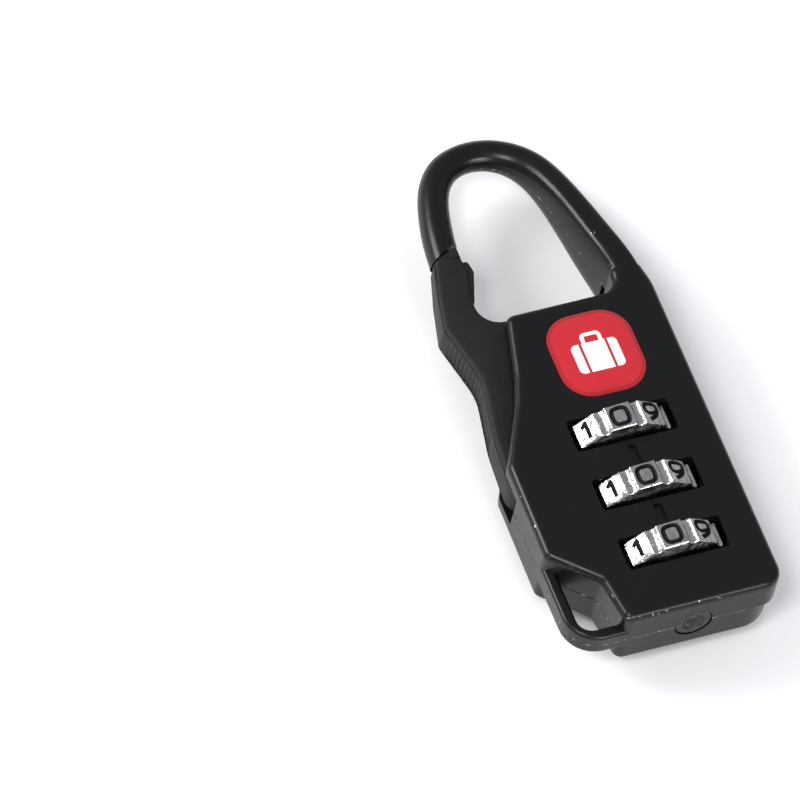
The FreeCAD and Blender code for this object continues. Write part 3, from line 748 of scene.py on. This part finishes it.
def badge_resin():
    """Glossy red resin over a white print of a suitcase."""
    finish = Finish("badge_resin", Coat_Weight=1.0, Coat_Roughness=0.03, Specular_IOR_Level=0.5)
    low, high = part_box("badge")
    centre = (low + high) / 2
    across = finish.x - centre.x
    up = finish.y - (centre.y - CASE_DROP)
    case_top = CASE_HEIGHT / 2
    case = 1 - outside_of(across, up, CASE_WIDTH, CASE_HEIGHT, CASE_CORNER).ramp(-PRINT_EDGE, PRINT_EDGE)
    straps = (across.size() - STRAP_PLACE).size().ramp(STRAP_HALF, STRAP_HALF + PRINT_EDGE)
    handle_up = up - (case_top + HANDLE_RISE)
    handle = outside_of(across, handle_up, HANDLE_WIDTH, HANDLE_HEIGHT, CASE_CORNER)
    handle = (handle + HANDLE_HALF).size().ramp(HANDLE_HALF, HANDLE_HALF + PRINT_EDGE)
    printed = (case * straps).at_least((1 - handle) * up.ramp(case_top - PRINT_EDGE, case_top))
    rim_up = finish.y - centre.y
    rim = outside_of(across, rim_up, high.x - low.x, high.y - low.y, BADGE_CORNER * MM)
    rim = rim.ramp(-RIM_BAND, -RIM_BAND + PRINT_EDGE)
    cloud = finish.noise(2.4 * MM, 2)
    # darker red in a narrow band round the rim of the dome
    red = finish.mix(rim, finish.mix(cloud * 0.25, BADGE_RED, BADGE_RIM_RED), BADGE_RIM_RED)
    finish.set(
        Base_Color=finish.mix(printed, red, PRINT_WHITE),
        Roughness=0.16 + finish.noise(0.8 * MM, 2) * 0.06,
    )
    finish.bump(finish.noise(3.0 * MM, 1), 0.02 * MM)
    return finish


add_piece("badge_dome", badge_dome(), [badge_resin()], "casing", ["badge"])

# ---------------------------------------------------------------- studio
# A plain pale sheet under and behind the lock, soft panels of light to the left, above and near the camera,
# and a long lens that looks down on the lock from its lower left corner.

FLOOR_REACH = 1.5
PAPER = (0.93, 0.93, 0.93, 1)
PALE_PAPER = (0.96, 0.96, 0.96, 1)

floor_mesh = bpy.data.meshes.new("floor")
corners = [(x * FLOOR_REACH, y * FLOOR_REACH, 0) for x, y in ((-1, -1), (1, -1), (1, 1), (-1, 1))]
floor_mesh.from_pydata(corners, [], [(0, 1, 2, 3)])
floor = bpy.data.objects.new("floor", floor_mesh)
bpy.context.scene.collection.objects.link(floor)
paper = Finish("floor_paper", Roughness=0.7)
paper.set(Base_Color=paper.mix(paper.noise(4 * MM, 3), PAPER, PALE_PAPER))
floor_mesh.materials.append(paper.material)


def soft_panel(name, direction, distance, width, height, power):
    """A rectangular area light at a direction from the lock, facing it."""
    data = bpy.data.lights.new(name, "AREA")
    data.shape = "RECTANGLE"
    data.size = width
    data.size_y = height
    data.energy = power
    panel = bpy.data.objects.new(name, data)
    bpy.context.scene.collection.objects.link(panel)
    away = Vector(direction).normalized()
    panel.location = away * distance
    panel.rotation_euler = away.to_track_quat("Z", "Y").to_euler()


soft_panel("left_panel", (-0.70, 0.47, 0.55), 0.9, 0.45, 0.35, 6)
soft_panel("camera_panel", (-0.45, -0.30, 0.84), 1.1, 0.30, 0.30, 5)
soft_panel("front_panel", (0.10, -0.85, 0.50), 1.0, 0.5, 0.25, 5)

world = bpy.data.worlds.new("studio")
world.use_nodes = True
world.node_tree.nodes["Background"].inputs["Color"].default_value = (0.9, 0.93, 1.0, 1)
world.node_tree.nodes["Background"].inputs["Strength"].default_value = 0.42
bpy.context.scene.world = world
bpy.context.scene.view_settings.view_transform = "Standard"

AZIMUTH = math.radians(-32.89)
ELEVATION = math.radians(56.11)
ROLL = math.radians(14.65)
DISTANCE = 1.5
LOOK_AT = Vector((-0.02236, 0.00247, 0.00912))
SENSOR = 36.0
LENS = 539.6

towards = Vector((
    math.sin(AZIMUTH) * math.cos(ELEVATION), -math.cos(AZIMUTH) * math.cos(ELEVATION), math.sin(ELEVATION),
))
right = Vector((math.cos(AZIMUTH), math.sin(AZIMUTH), 0))
right = Matrix.Rotation(ROLL, 3, towards) @ right
above = towards.cross(right)
camera_data = bpy.data.cameras.new("camera")
camera_data.sensor_width = SENSOR
camera_data.lens = LENS
camera_data.clip_end = 10
camera = bpy.data.objects.new("camera", camera_data)
bpy.context.scene.collection.objects.link(camera)
turn = Matrix((right, above, towards)).transposed().to_4x4()
camera.matrix_world = Matrix.Translation(LOOK_AT + towards * DISTANCE) @ turn
bpy.context.scene.camera = camera
